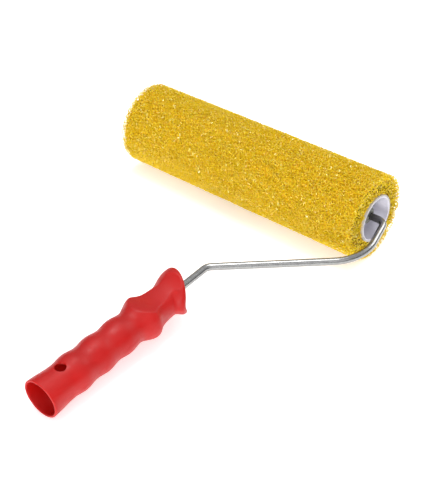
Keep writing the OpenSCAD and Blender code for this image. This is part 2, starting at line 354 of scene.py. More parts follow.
# %% [markdown]
# ## The wire: its route
# The frame is one length of round steel wire. From the far end of the roller it runs down the axle,
# turns sharply out of the core, sweeps round in a wide bend, crosses back to the middle line and
# turns once more into the handle. A bender works with straight legs and round corners, so the route
# is just the corners where the legs would meet and the radius of each bend.

# %% Work out the route of the wire
wire_r = 3.0
handle_x = 55.0
butt_s = 305.0
wings_g = 112.0
tang_end_g = 92.0
thrust_x = core_half - 8.0
washer_t = 1.0
axle_end_x = -(thrust_x + washer_t + 2.8)
corners = np.array([[axle_end_x, 0.0], [133.5, 0.0], [146.5, -50.5], [handle_x, -130.0],
                    [handle_x, tang_end_g - butt_s]])
bend_radii = np.array([0.0, 9.0, 38.0, 8.0, 0.0])


def bent_route(corners, radii, step):
    """Straight legs joined by arcs. An arc of radius R that turns by angle A starts R*tan(A/2) before
    its corner, and its centre is R to the side of the leg that it turns to."""
    legs = np.diff(corners, axis=0)
    legs /= np.linalg.norm(legs, axis=1)[:, None]
    stretches = []
    start = corners[0]
    for k in range(1, len(corners) - 1):
        before, after = legs[k - 1], legs[k]
        turn = np.arctan2(before[0] * after[1] - before[1] * after[0], before @ after)
        setback = radii[k] * np.tan(abs(turn) / 2)
        entry = corners[k] - before * setback
        side = np.sign(turn) * np.array([-before[1], before[0]])
        centre = entry + side * radii[k]
        along = np.linspace(0, 1, max(2, int(np.linalg.norm(entry - start) / step)))[:, None]
        stretches.append(start + (entry - start) * along)
        swing = np.linspace(0, turn, max(6, int(abs(turn) * radii[k] / (step / 3))))[1:-1, None]
        spoke = -side * radii[k]
        stretches.append(centre + spoke * np.cos(swing) + np.array([-spoke[1], spoke[0]]) * np.sin(swing))
        start = corners[k] + after * setback
    along = np.linspace(0, 1, max(2, int(np.linalg.norm(corners[-1] - start) / step)))[:, None]
    stretches.append(start + (corners[-1] - start) * along)
    return np.concatenate(stretches)


route = bent_route(corners, bend_radii, 1.5)
strides = np.linalg.norm(np.diff(route, axis=0), axis=1)
travelled = np.concatenate([[0], np.cumsum(strides)])
print(f"the wire is {travelled[-1]:.0f} mm long, {len(route)} rings")

# %% [markdown]
# ## The wire: its surface
# A round section is carried along the route. Both ends are cut with a small chamfer, and inside the
# handle the wire was pressed flat into two wings that lock it in the plastic, so the section there is
# wide and thin. Each point also remembers where it would be if the wire were straight again: drawing
# and plating leave fine marks along the wire, and they follow it round the bends.

# %% Sweep the wire
def swept_wire(route, travelled, radius, sides=36):
    """centre + r*wide*cos(t)*left + r*thin*sin(t)*Z. At the wings wide and thin change smoothly."""
    tangent = np.gradient(route, travelled, axis=0)
    tangent /= np.linalg.norm(tangent, axis=1)[:, None]
    left = np.stack([-tangent[:, 1], tangent[:, 0], np.zeros(len(route))], -1)
    centre = np.concatenate([route, np.zeros((len(route), 1))], 1)
    wings_at = travelled[-1] - (wings_g - tang_end_g)
    pressed = 1 / (1 + (np.abs(travelled - wings_at) / 5.0) ** 6)
    wide = 1 + 0.5 * pressed
    thin = 1 - 0.7 * pressed
    end_gap = np.minimum(travelled, travelled[-1] - travelled)
    chamfer = np.clip(0.8 + 0.2 * end_gap / 0.6, 0, 1)
    turn = np.linspace(0, 2 * np.pi, sides, endpoint=False)
    across = radius * (wide * chamfer)[:, None, None] * np.cos(turn)[None, :, None] * left[:, None, :]
    upright = radius * (thin * chamfer)[:, None] * np.sin(turn)[None, :]
    loops = centre[:, None, :] + across
    loops[:, :, 2] += upright
    straight = np.stack([np.broadcast_to(travelled[:, None], upright.shape),
                         np.broadcast_to(radius * np.cos(turn), upright.shape),
                         np.broadcast_to(radius * np.sin(turn), upright.shape)], -1)
    return loops, straight


def remember(piece, name, values):
    """Stores a vector for every point of the piece, for its finish to read."""
    layer = piece.data.attributes.new(name, "FLOAT_VECTOR", "POINT")
    layer.data.foreach_set("vector", values.astype(np.float32).ravel())


# %% [markdown]
# ## Zinc-plated steel
# Bright zinc on drawn wire is grey and only half shiny. The drawing die leaves hair-fine grooves along
# the wire, so the pattern is stretched: many times finer across than along. Plating adds a faint
# mottle of tone. The length inside the core is painted darker. This is painted shade, because the wire
# lies in the shadow of the core's recess there.

# %% Mix the zinc finish
def zinc_finish(name, tone, roughness, shade_until=0.0):
    """Metal with noise read from the straightened wire: long in X, fine round the section. Up to
    the last argument's distance along the wire it is painted darker, as painted shade for the length in the core."""
    finish, tree, shader, place = new_finish(name)
    straight = put(tree, "ShaderNodeAttribute", attribute_name="straight").outputs["Vector"]
    drawn = put(tree, "ShaderNodeMapping",
                {"Vector": straight, "Scale": (0.04, 2.5, 2.5)}).outputs["Vector"]
    grooves = noise(tree, drawn, 3.0, 4.0, 0.6)
    mottle = noise(tree, straight, 0.35, 3.0)
    light, dark = np.array(tone) * 1.03, np.array(tone) * 0.94
    shade = ramp(tree, mottle, [(0.35, colour(*dark)), (0.65, colour(*light))])
    along_wire = put(tree, "ShaderNodeSeparateXYZ", {"Vector": straight}).outputs["X"]
    # Painted shade: the metal is darker up to that distance along the wire and fades out over 14 mm.
    recess_shade = span(tree, along_wire, 1.0, 0.0, shade_until - 6, shade_until + 8)
    recess_shade_tone = colour(92, 92, 84)
    shaded_metal = put(tree, "ShaderNodeMixRGB", {"Fac": recess_shade, "Color1": shade, "Color2": recess_shade_tone})
    tree.links.new(shaded_metal.outputs["Color"], shader.inputs["Base Color"])
    gloss = span(tree, grooves, roughness - 0.07, roughness + 0.1, 0.3, 0.7)
    tree.links.new(gloss, shader.inputs["Roughness"])
    shader.inputs["Metallic"].default_value = 1.0
    bump(tree, shader, grooves, 0.00001, 0.4)
    return finish


rim_at = core_half - axle_end_x
# The painted shade on the wire runs from its far end to 3 mm past the near rim of the core.
zinc_bright = zinc_finish("zinc_bright", (158, 158, 157), 0.22, rim_at + 3)
wire_loops, straight = swept_wire(route, travelled, wire_r)
wire = make_piece("bent_wire", [shell(wire_loops)], "frame", zinc_bright, ["frame_wire"])
end_spots = np.array([[0, 0, 0], [travelled[-1], 0, 0]])
remember(wire, "straight", np.concatenate([straight.reshape(-1, 3), end_spots]))

# %% [markdown]
# ## Turned parts
# The core tube, the end caps, the washers and the push-on cap are all round about the axle, so each
# is an outline of radius and place along the axle, turned about X. Moulded and stamped edges are
# never quite sharp: every corner of the outline is first rounded a little, and a thin strip is kept
# on either side of the round so that the flats beside it stay flat in the light.

# %% Round an outline and turn it
def rounded(outline, radius, steps=4):
    """Replaces every corner P of a closed outline by the curve (1-t)^2 A + 2t(1-t) P + t^2 B, where A
    and B lie radius away from P, or 0.4 of the side if that is less. A strip's edge is 1.2 times as far."""
    here = np.array(outline, float)
    to_last = np.roll(here, 1, 0) - here
    to_next = np.roll(here, -1, 0) - here
    reach_last = np.linalg.norm(to_last, axis=1)[:, None]
    reach_next = np.linalg.norm(to_next, axis=1)[:, None]
    cut_last = np.minimum(radius, 0.4 * reach_last) * to_last / reach_last
    cut_next = np.minimum(radius, 0.4 * reach_next) * to_next / reach_next
    t = np.linspace(0, 1, steps + 1)[None, :, None]
    curve = here[:, None] + (1 - t) ** 2 * cut_last[:, None] + t ** 2 * cut_next[:, None]
    strips = [(here + 1.2 * cut_last)[:, None], curve, (here + 1.2 * cut_next)[:, None]]
    return np.concatenate(strips, 1).reshape(-1, 2)


def turned(outline, sides=96, start=0.0):
    """Every point (radius, place) of the outline goes round the axle: (place, r*sin(a), r*cos(a))."""
    a = np.linspace(0, 2 * np.pi, sides, endpoint=False) + start
    r, x = outline[:, :1], outline[:, 1:]
    return np.stack([x + 0 * a, r * np.sin(a), r * np.cos(a)], -1)


# %% [markdown]
# ## The core tube
# The foam is glued round a thin tube of pale plastic that stands out half a millimetre past it. Only
# its rim can be seen. It is plain extruded plastic, faintly cloudy and not quite even in its gloss.

# %% Make the core tube
core_wall = 1.4


def moulded_finish(name, tones, roughness, cloud_scale, grain_scale, grain_depth, shine=0.5, scatter=0.0):
    """Plastic: slow clouds of tone, a fine grain in the surface, and patches that are a little duller or
    shinier. scatter is the share of light that sinks in and comes out redder."""
    finish, tree, shader, place = new_finish(name)
    clouds = noise(tree, place, cloud_scale, 4.0)
    stops = [(0.3, colour(*tones[0])), (0.7, colour(*tones[1]))]
    tree.links.new(ramp(tree, clouds, stops), shader.inputs["Base Color"])
    grain = noise(tree, place, grain_scale, 2.0, 0.6)
    patches = noise(tree, place, cloud_scale * 4, 6.0, 0.6)
    gloss = span(tree, patches, roughness - 0.1, roughness + 0.1, 0.35, 0.65)
    tree.links.new(gloss, shader.inputs["Roughness"])
    shader.inputs["Specular IOR Level"].default_value = shine
    if scatter:
        shader.inputs["Subsurface Weight"].default_value = scatter
        shader.inputs["Subsurface Radius"].default_value = (1.0, 0.15, 0.1)
        shader.inputs["Subsurface Scale"].default_value = 0.004
    bump(tree, shader, grain, grain_depth, 0.7)
    return finish


core_cream = moulded_finish("core_cream", ((176, 173, 168), (188, 185, 179)), 0.5, 60, 2600, 0.00006)
core_outline = rounded([[core_r, -core_half], [core_r, core_half],
                        [core_r - core_wall, core_half], [core_r - core_wall, -core_half]], 0.35)
make_piece("core_tube_skin", [shell(turned(core_outline, 128), ring=True)], "roller",
           core_cream, ["core_tube"])

# %% [markdown]
# ## The end caps
# A grey moulded cup is pressed into each end of the tube. Its wall runs down to a floor with a hub in
# the middle, which runs straight on the wire, and six thin ribs brace the hub. The wall is not quite
# round: the mould left shallow flutes down it, which show as faint streaks of light.

# %% Make the end caps
cap_depth = 22.0
cap_wall = 0.9
cap_floor = 2.5
hub_r = 6.25
hub_depth = 8.3
hub_clearance = 0.12
cap_ribs = 6
rib_t = 1.6
rib_top = 14.0
press = 0.05


def fluted(loops, inner_r, outer_r, flutes, depth):
    """Moves the points between two radii by depth*cos(flutes*a) along the radius."""
    a = np.arctan2(loops[..., 1], loops[..., 2])
    r = np.hypot(loops[..., 1], loops[..., 2])
    wave = 1 + np.where((r > inner_r) & (r < outer_r), depth, 0.0) * np.cos(flutes * a) / r
    return np.stack([loops[..., 0], loops[..., 1] * wave, loops[..., 2] * wave], -1)


def rounded_bar(start, end, wide, thick, corner, turn):
    """A bar along the radius: a rounded rectangle, wide along the axle and thick across, carried from
    start to end and turned about the axle."""
    section = rounded([[-wide / 2, -thick / 2], [wide / 2, -thick / 2],
                       [wide / 2, thick / 2], [-wide / 2, thick / 2]], corner, 3)
    reach = np.linspace(start, end, 4)[:, None]
    x = section[:, 0] + 0 * reach
    y = section[:, 1] + 0 * reach
    z = reach + 0 * section[:, 0]
    c, s = np.cos(turn), np.sin(turn)
    return np.stack([x, y * c + z * s, z * c - y * s], -1)


def end_cap_shells():
    """The cup, the hub and the ribs of a cap whose rim is at x = 0 and whose recess opens to +X."""
    outer = core_r - core_wall + press
    inner = outer - press - cap_wall
    back = cap_depth + cap_floor
    bore = wire_r + hub_clearance
    cup = rounded([[outer, 0.0], [outer, -back], [hub_r - 1, -back], [hub_r - 1, -cap_depth],
                   [inner, -cap_depth], [inner, 0.0]], 0.4)
    hub = rounded([[hub_r, -hub_depth], [hub_r, -back - 4], [bore, -back - 4], [bore, -hub_depth]], 0.4)
    cup_loops = fluted(turned(cup, 288), inner - 0.6, inner + 0.3, 36, 0.05)
    rib_wide = cap_depth + 0.5 - rib_top
    shells = [shell(cup_loops, ring=True), shell(turned(hub, 72), ring=True)]
    for k in range(cap_ribs):
        rib = rounded_bar(hub_r - 0.5, inner + 0.4, rib_wide, rib_t, 0.35, 2 * np.pi * k / cap_ribs)
        rib[..., 0] -= rib_top + rib_wide / 2
        shells.append(shell(rib))
    return shells


def placed(shells, shift=0.0, mirrored=False):
    """Moves shells along the axle; mirrored also turns them end for end about Z."""
    turn = np.array([-1.0, -1.0, 1.0]) if mirrored else np.ones(3)
    return [(points * turn + np.array([shift, 0, 0]), faces) for points, faces in shells]


cap_grey = moulded_finish("cap_grey", ((214, 212, 222), (224, 222, 231)), 0.4, 90, 3000, 0.00005)
make_piece("frame_side_cap_skin", placed(end_cap_shells(), core_half), "roller",
           cap_grey, ["frame_side_end_cap"])
make_piece("far_side_cap_skin", placed(end_cap_shells(), -core_half, True), "roller",
           cap_grey, ["far_side_end_cap"])

# %% [markdown]
# ## Washers and the push-on cap
# On the wire sit the small steel parts that hold the roller in its place: a flat thrust washer at each
# hub, a toothed stop washer behind the near one and a domed cap pushed over the far end. Stamped
# washers have soft edges on one side, and the stop washer's teeth are the metal left between slots.

# %% Make the small steel parts
washer_r = 7.0
stop_r = 5.5
# -100: no painted shade on the small steel parts.
zinc_dull = zinc_finish("zinc_dull", (118, 119, 112), 0.42, -100)


def small_steel(name, loops, shift, stands_for):
    """A steel part about the axle; its grain goes round it as a die leaves it."""
    moved = loops + np.array([shift, 0, 0])
    piece = make_piece(name, [shell(moved, ring=True)], "frame", zinc_dull,
                       [stands_for], 30)
    radius = np.hypot(loops[..., 1], loops[..., 2])
    spin = np.arctan2(loops[..., 1], loops[..., 2])
    remember(piece, "straight", np.stack([20 * np.cos(spin), radius, loops[..., 0]], -1).reshape(-1, 3))


washer_outline = rounded([[washer_r, 0.0], [washer_r, washer_t], [wire_r, washer_t], [wire_r, 0.0]], 0.25)
small_steel("near_thrust_washer", turned(washer_outline), thrust_x, "frame_side_thrust_washer")
small_steel("far_thrust_washer", turned(washer_outline), -thrust_x - washer_t, "far_side_thrust_washer")

stop_outline = rounded([[stop_r, 0.0], [stop_r, 0.7], [stop_r - 1.2, 0.7], [wire_r, 1.7], [wire_r, 1.0],
                        [stop_r - 1.2, 0.0]], 0.15, 3)
stop_loops = turned(stop_outline, 144)
spin = np.arctan2(stop_loops[..., 1], stop_loops[..., 2])
radius = np.hypot(stop_loops[..., 1], stop_loops[..., 2])
slot_here = np.clip((np.cos(6 * spin) - 0.93) / 0.04, 0, 1)
slot_push = slot_here * np.clip(stop_r - 1.0 - radius, 0, None) * 0.8
stop_loops[..., 1:] *= ((radius + slot_push) / radius)[..., None]
small_steel("near_stop_washer", stop_loops, thrust_x + washer_t, "frame_side_stop_washer")

# %% Dome the push-on cap
dome_turn = np.radians(np.linspace(0, 90, 14))[1:-1]
skirt, top, dome_wall = 2.2, 4.6, 0.7
outside = np.stack([stop_r * np.cos(dome_turn), -skirt - (top - skirt) * np.sin(dome_turn)], -1)
inside_turn = dome_turn[::-1]
inside = np.stack([(stop_r - dome_wall) * np.cos(inside_turn),
                   -skirt - (top - dome_wall - skirt) * np.sin(inside_turn)], -1)
flange = [[wire_r, 0.0], [stop_r + 0.3, 0.0], [stop_r + 0.3, -0.5], [stop_r, -0.8]]
dome_outline = np.concatenate([flange, outside, [[0.05, -top], [0.05, -top + dome_wall]], inside,
                               [[stop_r - dome_wall, -0.9], [wire_r, -0.7]]])
small_steel("far_push_cap", turned(dome_outline), -thrust_x - washer_t, "far_side_push_cap")

# %% [markdown]
# ## The handle: its outline
# The grip is hollow, moulded in one shot. Along it run three shallow waves for the fingers; then it
# swells to a knuckle, falls to a neck and flares into a guard. On the top and on the bottom a nearly
# flat rest is cut between knuckle and guard, for the thumb. Everything is a radius that depends on
# the distance g from the butt and the angle a round the grip, measured from the top.

# %% Work out the grip
butt_r = 15.4
grip_r0 = 14.55
first_dip = 21.0
wave_pitch = 22.3
wave_height = 0.62
grip_slope = 0.012
knuckle_start = first_dip + 3 * wave_pitch
knuckle_g = knuckle_start + 15.0
knuckle_fall = 5.5
knuckle_r = 17.8
neck_r = 12.7
guard_r = 17.5
handle_length = 135.0
rim_lean, rim_ears = 6.7, 7.2
rim_round, rim_land = 2.2, 3.0
flare_l, flare_lean, flare_haste = 15.0, 7.0, 1.15
lip_round = 0.9
thumb_height = 10.8
thumb_g = knuckle_g + 14.0
thumb_back, thumb_back_rise = 25.0, 4.0
thumb_front, thumb_front_rise = 26.0, 9.0
thumb_wrap = 0.9
thumb_crease = 0.12


def smooth(u):
    """3u^2 - 2u^3 between 0 and 1: leaves and arrives without a kink."""
    u = np.clip(u, 0, 1)
    return u * u * (3 - 2 * u)


def grip_radius(g):
    """Mean radius less a slow taper and a cosine wave, widening to the butt."""
    past = np.maximum(g, first_dip) - first_dip
    waves = wave_height * np.cos(2 * np.pi * past / wave_pitch)
    butt = (butt_r - grip_r0 + wave_height) * (1 - smooth(g / first_dip))
    return grip_r0 - grip_slope * past - waves + butt


def round_radius(g):
    """The grip up to the knuckle's start, a smooth rise to the knuckle, then 1/(1+d^2) down to the neck."""
    start_r = grip_radius(knuckle_start)
    rise = start_r + (knuckle_r - start_r) * smooth((g - knuckle_start) / (knuckle_g - knuckle_start))
    fall = neck_r + (knuckle_r - neck_r) / (1 + ((g - knuckle_g) / knuckle_fall) ** 2)
    return np.where(g < knuckle_start, grip_radius(g), np.where(g < knuckle_g, rise, fall))


def rim_g(a):
    """The guard's rim leans back on the side of the arm and reaches forward at the thumb rests."""
    return handle_length - rim_lean * np.sin(a) + rim_ears * np.sqrt(np.cos(a) ** 2 + 0.03)


def thumb_cut(r, g, a):
    """A thumb rest is cut into the skin: the radius is at most h/cos(0.9*off), where off is the angle from
    the top or the bottom, and h is the rest's own height. h rises behind its lowest point by the smooth
    step and in front of it by u^2.5. The soft minimum (r + c - sqrt((r-c)^2 + e^2))/2 rounds the crease."""
    off = np.abs((a + np.pi / 2) % np.pi - np.pi / 2)
    behind = thumb_back_rise * smooth((thumb_g - g) / thumb_back)
    ahead = thumb_front_rise * np.clip((g - thumb_g) / thumb_front, 0, None) ** 2.5
    cut = (thumb_height + behind + ahead) / np.cos(thumb_wrap * off)
    cut = np.where(g < thumb_g - thumb_back, 100.0, cut)
    return (r + cut - np.sqrt((r - cut) ** 2 + thumb_crease ** 2)) / 2


def skin_ring(t, a):
    """Ring t of the skin: up to 1 along the grip, from 1 to 2 out along the flare. Gives (r, g)."""
    flare_start = rim_g(a) - flare_l + flare_lean * np.sin(a)
    g = np.where(t <= 1, t * flare_start, flare_start + (t - 1) * (rim_g(a) - flare_start))
    base = round_radius(g)
    flare = base + (guard_r - base) * smooth((t - 1) * flare_haste)
    return thumb_cut(np.where(t <= 1, base, flare), g, a), g


# %% [markdown]
# ## The handle: one closed skin
# The skin starts deep inside, on the end of the boss that grips the wire, runs out along the hollow
# and the pole socket, turns over the lip of the butt, follows the grip outside and closes over the
# guard's front on the wire. So the handle has a real wall. The hanging hole is then cut through.

# %% Make the handle
handle_sides = 160
a = np.linspace(0, 2 * np.pi, handle_sides, endpoint=False)[None, :]
mouth_r = butt_r - 1.6
socket_r = 12.4
socket_depth = 58.0
lead_in = 12.0
inner_r = 9.0
boss_g = 98.0


def hollow_rings():
    """Radius and place of the inside, from the boss out to the lip."""
    lip = np.linspace(0, 1, 5)[1:]
    outline = np.concatenate([
        [[wire_r, boss_g], [inner_r - 0.6, boss_g], [inner_r, boss_g - 0.6], [inner_r, boss_g - 2]],
        [[inner_r, socket_depth + 3], [inner_r, socket_depth + 0.5], [inner_r + 0.5, socket_depth]],
        [[socket_r - 0.4, socket_depth], [socket_r, socket_depth - 0.6]],
        np.stack([np.full(24, socket_r), np.linspace(socket_depth - 2, lead_in + 1, 24)], -1),
        np.stack([np.linspace(socket_r, mouth_r - 0.1, 10), np.linspace(lead_in, 1.0, 10)], -1),
        np.stack([mouth_r - 0.1 + 0.7 * (1 - np.cos(lip * np.pi / 2)), 1 - np.sin(lip * np.pi / 2)], -1)])
    return outline[:, :1] + 0 * a, outline[:, 1:] + 0 * a


def skin_rings():
    """The lip's outer round, the grip and the flare."""
    t = np.concatenate([np.linspace(0.006, 1, 150), np.linspace(1, 2, 26)[1:]])[:, None]
    r, g = skin_ring(t, a)
    lip = np.sin(np.linspace(0, 1, 6)[:-1] * np.pi / 2)[:, None]
    lip_g = g[:1] * (1 - np.sqrt(1 - lip ** 2))
    lip_r = r[:1] - lip_round * (1 - lip)
    return np.concatenate([lip_r, r]), np.concatenate([lip_g, g])


def front_rings():
    """Over the guard's rounded rim, then a shallow cone down to the wire."""
    rim_r, rim = skin_ring(np.full((1, 1), 2.0), a)
    turn = np.linspace(0, np.pi / 2, 9)[1:, None]
    over_r = rim_r - rim_land * (1 - np.cos(turn))
    over_g = rim + rim_round * np.sin(turn)
    inward = np.linspace(0, 1, 16)[1:, None]
    face_r = over_r[-1:] + (wire_r - 0.2 - over_r[-1:]) * inward
    front_g = handle_length + rim_round
    centre_g = front_g + (rim - handle_length) * 0.3
    ease = smooth(inward * 1.6)
    face_g = over_g[-1:] + (centre_g - over_g[-1:]) * ease + (front_g - centre_g) * inward ** 2
    return np.concatenate([over_r, face_r]), np.concatenate([over_g, face_g])


ring_sets = [hollow_rings(), skin_rings(), front_rings()]
ring_r = np.concatenate([r for r, _ in ring_sets])
ring_g = np.concatenate([g for _, g in ring_sets])
handle_loops = np.stack([handle_x + ring_r * np.sin(a), ring_g - butt_s, ring_r * np.cos(a)], -1)
print("handle rings:", len(ring_r), "narrowest radius", round(float(ring_r.min()), 2))

# %% [markdown]
# ## Red moulded plastic
# The handle is satin polypropylene, coloured all through. Its skin has a very fine spark-eroded grain
# from the mould, so highlights are wide and pinkish and not mirror-like, and patches of it are a
# little duller or shinier. Light sinks in a little, which makes the thin lip at the butt glow.

# %% Mix the red and make the handle
grip_red = moulded_finish("grip_red", ((173, 8, 5), (183, 12, 8)), 0.44, 35, 2200, 0.0001, 0.34, 0.2)
handle = make_piece("moulded_handle", [shell(handle_loops)], "frame", grip_red,
                    ["handle"], 50)

# %% Drill the hanging hole
hang_r = 4.3
hang_g = 21.4
hole_turn = np.linspace(0, 2 * np.pi, 64, endpoint=False)
hole_x = handle_x + hang_r * np.cos(hole_turn)
hole_y = hang_g - butt_s + hang_r * np.sin(hole_turn)
hole_loops = np.stack([np.stack([hole_x, hole_y, np.full(64, z)], -1) for z in (-20.0, 20.0)])
cutter = bpy.data.objects.new("cutter", build_mesh("cutter", [shell(hole_loops)]))
bpy.context.scene.collection.objects.link(cutter)
cut = handle.modifiers.new("hanging_hole", "BOOLEAN")
cut.operation = "DIFFERENCE"
cut.solver = "EXACT"
cut.object = cutter
evaluated = handle.evaluated_get(bpy.context.evaluated_depsgraph_get())
drilled = bpy.data.meshes.new_from_object(evaluated)
handle.modifiers.clear()
handle.data = drilled
bpy.data.objects.remove(cutter)
drilled.set_sharp_from_angle(angle=np.radians(50))
print("handle after drilling:", len(drilled.polygons), "faces")

# %% [markdown]
# ## The foam: what it is
# Coarse reticulated foam is a net of thin struts. Soap bubbles packed together give its shape: each
# bubble has flat windows, three windows meet in a strut, and four struts meet in a knot. Packed
# evenly, the bubbles are truncated octahedra on a body-centred grid. So the net is laid out on that
# grid, turned at an odd angle, bent by slow waves and shaken knot by knot, until no order is left.

# %% Lay out one cell of the bubble grid
cell = 3.6
rng = np.random.default_rng(20)
quarter = np.array([[0, 1, 2], [0, 3, 2], [0, 2, 1], [0, 2, 3], [1, 0, 2], [3, 0, 2],
                    [2, 0, 1], [2, 0, 3], [1, 2, 0], [3, 2, 0], [2, 1, 0], [2, 3, 0]]) / 4
shifts = np.stack(np.meshgrid([-1, 0, 1], [-1, 0, 1], [-1, 0, 1], indexing="ij"), -1).reshape(-1, 3)
strut_length = np.sqrt(2) / 4


def cell_struts():
    """Pairs of knots one strut apart: (knot, shift of the other's cell, other knot), each pair once."""
    other = quarter[None, None] + shifts[None, :, None]
    gap = np.linalg.norm(other - quarter[:, None, None], axis=-1)
    knot, shift, mate = np.where(np.abs(gap - strut_length) < 0.01)
    half_turn = quarter[mate] + shifts[shift] - quarter[knot]
    order = half_turn @ np.array([1.0, 0.1, 0.01])
    once = order > 0
    return knot[once], shifts[shift[once]], mate[once]


def cell_windows():
    """The six-sided and four-sided windows: knots at one strut, or at a quarter, from each centre."""
    signs = [(x, y, z) for x in (1, -1) for y in (1, -1) for z in (1, -1)]
    hexagons = [(0.25 * np.array(sign), strut_length) for sign in signs]
    squares = [(np.roll([0.5, 0, 0], k), 0.25) for k in range(3)]
    squares += [(np.roll([0.0, 0.5, 0.5], k), 0.25) for k in range(3)]
    found = []
    for centre, reach in hexagons + squares:
        spots = (quarter[None] + shifts[:, None]).reshape(-1, 3) - centre
        near = np.where(np.abs(np.linalg.norm(spots, axis=1) - reach) < 0.01)[0]
        flat = spots[near]
        normal = np.linalg.svd(flat)[2][2]
        side = flat[0] / np.linalg.norm(flat[0])
        order = np.argsort(np.arctan2(flat @ np.cross(normal, side), flat @ side))
        near = near[order]
        found.append((shifts[near // 12], near % 12))
    return found


knots, knot_shift, mates = cell_struts()
windows = cell_windows()
window_sides = sorted({len(w[1]) for w in windows})
print(len(knots), "struts and", len(windows), "windows to a cell, with", window_sides, "sides")

# %% [markdown]
# ## The foam: where it is needed
# Only the outer few millimetres can be seen, so cells are laid only there: near the outside of the
# sleeve and near its two cut ends. How deep a point lies is one formula, the distance to a cylinder
# with rounded edges, negative inside. The net looks more open on the cut ends, so only a share of
# the struts is kept there. Through them darker gaps show round the core, painted shade on the deep foam behind.

# %% Fill the skin of the sleeve with cells
foam_edge = 1.2
foam_depth = 2.7
end_depth = 5.0
end_net = 2.8
end_kept = 0.72
odd_turn = np.linalg.qr(np.array([[0.81, 0.37, -0.45], [-0.52, 0.78, -0.35], [0.22, 0.51, 0.83]]))[0]


def end_reach(radius):
    """How far in the deep foam begins at the cut ends: foam_depth at the outside, and end_depth more
    at the core, rising evenly between them."""
    side_r = foam_r - foam_depth
    return foam_depth + end_depth * np.clip((side_r - radius) / (side_r - core_r), 0, 1)


def outside_by(points):
    """Distance outside a cylinder with rounded edges; negative is the depth inside."""
    over_r = np.hypot(points[..., 1], points[..., 2]) - (foam_r - foam_edge)
    over_x = np.abs(points[..., 0]) - (foam_half - foam_edge)
    corner = np.hypot(np.maximum(over_r, 0), np.maximum(over_x, 0))
    return corner + np.minimum(np.maximum(over_r, over_x), 0) - foam_edge


def slow_waves(points, size, wavelength):
    """A bend of the net: each direction is moved by three sine waves that run through the foam."""
    waves = np.random.default_rng(7)
    moved = np.zeros_like(points)
    for _ in range(3):
        run = waves.normal(size=(3, 3))
        run *= (2 * np.pi / wavelength) / np.linalg.norm(run, axis=0)
        moved += np.sin(points @ run + waves.uniform(0, 6.28, 3))
    return points + moved * size / 3


half_box = np.array([foam_half, foam_r, foam_r]) + cell
span_cells = np.ceil(np.abs(odd_turn).T @ half_box / cell).astype(int) + 1
grid = np.stack(np.meshgrid(*[np.arange(-n, n + 1) for n in span_cells], indexing="ij"), -1)
centres = (grid + 0.5) * cell @ odd_turn.T
depth = outside_by(centres)
near_end = foam_half - np.abs(centres[..., 0]) < end_net + cell
outside_core = np.hypot(centres[..., 1], centres[..., 2]) > core_r - cell
wanted = (depth < cell) & ((depth > -foam_depth - cell) | near_end) & outside_core
number = np.where(wanted, np.cumsum(wanted).reshape(wanted.shape) - 1, -1)
number = np.pad(number, 1, constant_values=-1)
home = np.argwhere(wanted)
base = (home - span_cells)
knot_points = ((base[:, None] + quarter[None]) * cell @ odd_turn.T).reshape(-1, 3)
knot_points = slow_waves(knot_points, 1.5, 11.0) + rng.normal(0, 0.24, knot_points.shape)
print(len(home), "cells,", len(knot_points), "knots")


# %% Join the knots
def knot_number(shift, knot):
    """The number of that knot in the cell shifted from each home cell, or -1 where no cell was laid."""
    there = home + 1 + shift
    found = number[there[:, 0], there[:, 1], there[:, 2]]
    return np.where(found < 0, -1, found * 12 + knot)


pairs = np.concatenate([np.stack([knot_number((0, 0, 0), k), knot_number(s, m)], -1)
                        for k, s, m in zip(knots, knot_shift, mates)])
pairs = pairs[(pairs >= 0).all(1)]
cut_depth = rng.uniform(-0.55, 0.05, len(pairs))
ends = knot_points[pairs]
out = outside_by(ends) - cut_depth[:, None]
off_axle = np.hypot(ends[..., 1], ends[..., 2])
near_cut = foam_half - np.abs(ends[..., 0]).max(1) < end_net
kept_there = near_cut & (rng.uniform(size=len(pairs)) < end_kept)
seen = np.where(off_axle.max(1) < foam_r - foam_depth, kept_there, out.max(1) > -foam_depth)
keep = (out.min(1) < 0) & seen & (off_axle.min(1) > core_r - 0.3)
ends, out = ends[keep], out[keep]
crossing = np.clip(-out[:, :1] / (out[:, 1:] - out[:, :1] + 1e-9), 0, 1)[..., None]
cut_at = ends[:, :1] * (1 - crossing) + ends[:, 1:] * crossing
ends = np.where(out[..., None] > 0, cut_at, ends)
ends = ends[np.linalg.norm(ends[:, 1] - ends[:, 0], axis=1) > 0.15]
print(len(ends), "struts")

# %% [markdown]
# ## The foam: struts and skins
# A real strut has three sides, because three bubbles pressed against it. Each is a small closed prism,
# turned by chance, and its flat sides catch the light one by one: that is the foam's glitter. A few
# windows kept their skin when the foam was made. Those skins are thin closed lenses.

# %% Give the struts their thickness
strut_r = 0.31


def prisms(ends, radius):
    """Three corners round each end of a strut: end + r*(cos(t)*side + sin(t)*other), ends reaching 0.12
    further so that they meet inside the knot. Three quads and two triangles close it."""
    axis = ends[:, 1] - ends[:, 0]
    axis /= np.linalg.norm(axis, axis=1)[:, None]
    helper = np.where(np.abs(axis[:, :1]) > 0.7, [[0.0, 1.0, 0.0]], [[1.0, 0.0, 0.0]])
    side = np.cross(axis, helper)
    side /= np.linalg.norm(side, axis=1)[:, None]
    other = np.cross(axis, side)
    turn = rng.uniform(0, 2 * np.pi, len(ends))[:, None] + np.array([0, 2, 4]) * np.pi / 3
    spoke = np.cos(turn)[..., None] * side[:, None] + np.sin(turn)[..., None] * other[:, None]
    spoke = spoke * (radius * rng.uniform(0.8, 1.25, len(ends)))[:, None, None]
    far = ends + np.stack([-axis, axis], 1) * 0.12
    points = (far[:, :, None] + spoke[:, None]).reshape(-1, 3)
    start = np.arange(len(ends))[:, None] * 6
    quads = np.concatenate([start + np.array(q) for q in ([0, 1, 4, 3], [1, 2, 5, 4], [2, 0, 3, 5])])
    caps = np.concatenate([start + np.array([0, 2, 1]), start + np.array([3, 4, 5])])
    return points, [quads, caps]


